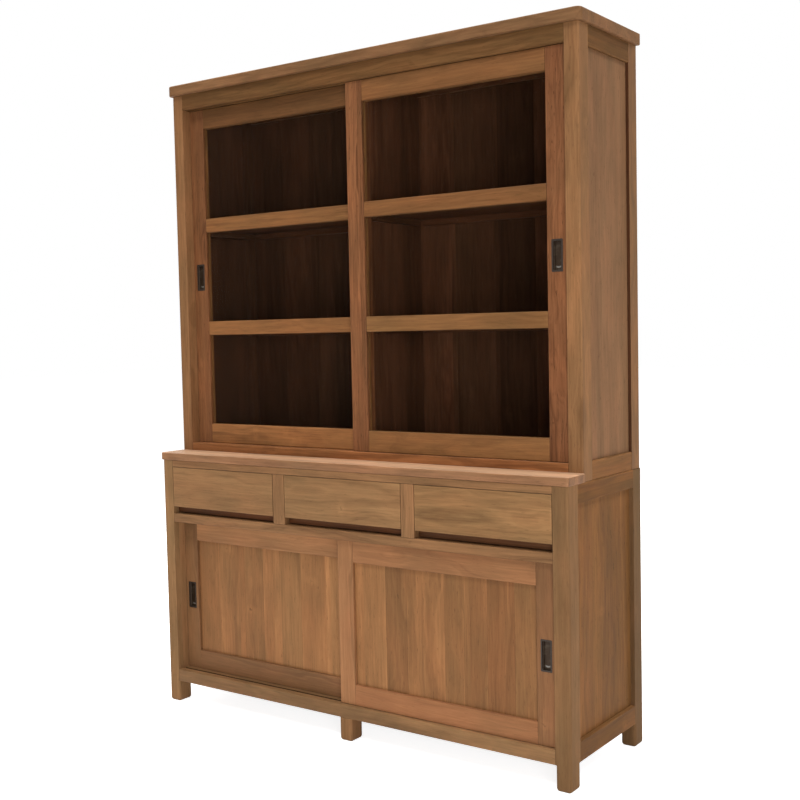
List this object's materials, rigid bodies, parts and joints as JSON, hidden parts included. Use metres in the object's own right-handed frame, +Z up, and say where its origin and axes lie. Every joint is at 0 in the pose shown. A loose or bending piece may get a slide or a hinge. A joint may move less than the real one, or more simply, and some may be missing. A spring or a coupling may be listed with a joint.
{
  "type": "buffet cabinet",
  "caption": "Two-part wooden buffet cabinet: a base with drawers and sliding panelled doors, and a shallower hutch with sliding glazed doors and shelves.",
  "frame": {"origin": "on the floor, under the middle of the cabinet's outline", "axes": "+X to the right as seen from the front, +Y to the back, +Z up; the front faces -Y"},
  "size_m": [1.6, 0.492, 2.158],
  "materials": {
    "frame_wood": "oiled teak",
    "panel_wood": "oiled teak",
    "board_wood": "oiled teak",
    "hutch_door_wood": "oiled teak",
    "base_door_wood": "oiled teak",
    "drawer_front_wood": "oiled teak",
    "inside_wood": "bare teak",
    "glass": "clear",
    "pull_metal": "darkened"
  },
  "bodies": {
    "carcass": {"base_back_boards": "panel_wood", "base_back_rails": "frame_wood", "base_centre_feet": "frame_wood", "base_drawer_dividers": "frame_wood", "base_drawer_rail": "frame_wood", "base_drawer_runners": "inside_wood", "base_floor": "inside_wood", "base_post_back_left": "frame_wood", "base_post_back_right": "frame_wood", "base_post_front_left": "frame_wood", "base_post_front_right": "frame_wood", "base_shelf": "inside_wood", "base_side_panels": "panel_wood", "base_side_rails": "frame_wood", "base_sill": "frame_wood", "base_top_rail": "frame_wood", "cornice": "board_wood", "counter": "board_wood", "hutch_back_boards": "panel_wood", "hutch_back_rails": "frame_wood", "hutch_floor": "inside_wood", "hutch_frieze": "frame_wood", "hutch_partition": "inside_wood", "hutch_post_back_left": "frame_wood", "hutch_post_back_right": "frame_wood", "hutch_post_front_left": "frame_wood", "hutch_post_front_right": "frame_wood", "hutch_shelves": "inside_wood", "hutch_side_panel_left": "panel_wood", "hutch_side_panel_right": "panel_wood", "hutch_side_rails": "frame_wood", "hutch_sill": "frame_wood", "shelf_cleats": "inside_wood"},
    "base_door_left": {"base_door_left_panel": "base_door_wood", "base_door_left_pull": "pull_metal", "base_door_left_rails": "base_door_wood", "base_door_left_stiles": "base_door_wood"},
    "base_door_right": {"base_door_right_panel": "base_door_wood", "base_door_right_pull": "pull_metal", "base_door_right_rails": "base_door_wood", "base_door_right_stiles": "base_door_wood"},
    "drawer_left": {"drawer_left_bottom": "inside_wood", "drawer_left_box": "inside_wood", "drawer_left_front": "drawer_front_wood"},
    "drawer_middle": {"drawer_middle_bottom": "inside_wood", "drawer_middle_box": "inside_wood", "drawer_middle_front": "drawer_front_wood"},
    "drawer_right": {"drawer_right_bottom": "inside_wood", "drawer_right_box": "inside_wood", "drawer_right_front": "drawer_front_wood"},
    "hutch_door_left": {"hutch_door_left_beads": "hutch_door_wood", "hutch_door_left_glass": "glass", "hutch_door_left_pull": "pull_metal", "hutch_door_left_rails": "hutch_door_wood", "hutch_door_left_stiles": "hutch_door_wood"},
    "hutch_door_right": {"hutch_door_right_beads": "hutch_door_wood", "hutch_door_right_glass": "glass", "hutch_door_right_pull": "pull_metal", "hutch_door_right_rails": "hutch_door_wood", "hutch_door_right_stiles": "hutch_door_wood"}
  },
  "joints": [
    {"name": "base_door_left_slide", "type": "slide", "parent": "carcass", "child": "base_door_left", "axis": [1, 0, 0], "range_m": [0, 0.716]},
    {"name": "base_door_right_slide", "type": "slide", "parent": "carcass", "child": "base_door_right", "axis": [1, 0, 0], "range_m": [-0.716, 0]},
    {"name": "hutch_door_left_slide", "type": "slide", "parent": "carcass", "child": "hutch_door_left", "axis": [1, 0, 0], "range_m": [0, 0.713]},
    {"name": "hutch_door_right_slide", "type": "slide", "parent": "carcass", "child": "hutch_door_right", "axis": [1, 0, 0], "range_m": [-0.713, 0]},
    {"name": "drawer_left_slide", "type": "slide", "parent": "carcass", "child": "drawer_left", "axis": [0, -1, 0], "range_m": [0, 0.3]},
    {"name": "drawer_middle_slide", "type": "slide", "parent": "carcass", "child": "drawer_middle", "axis": [0, -1, 0], "range_m": [0, 0.3]},
    {"name": "drawer_right_slide", "type": "slide", "parent": "carcass", "child": "drawer_right", "axis": [0, -1, 0], "range_m": [0, 0.3]}
  ]
}
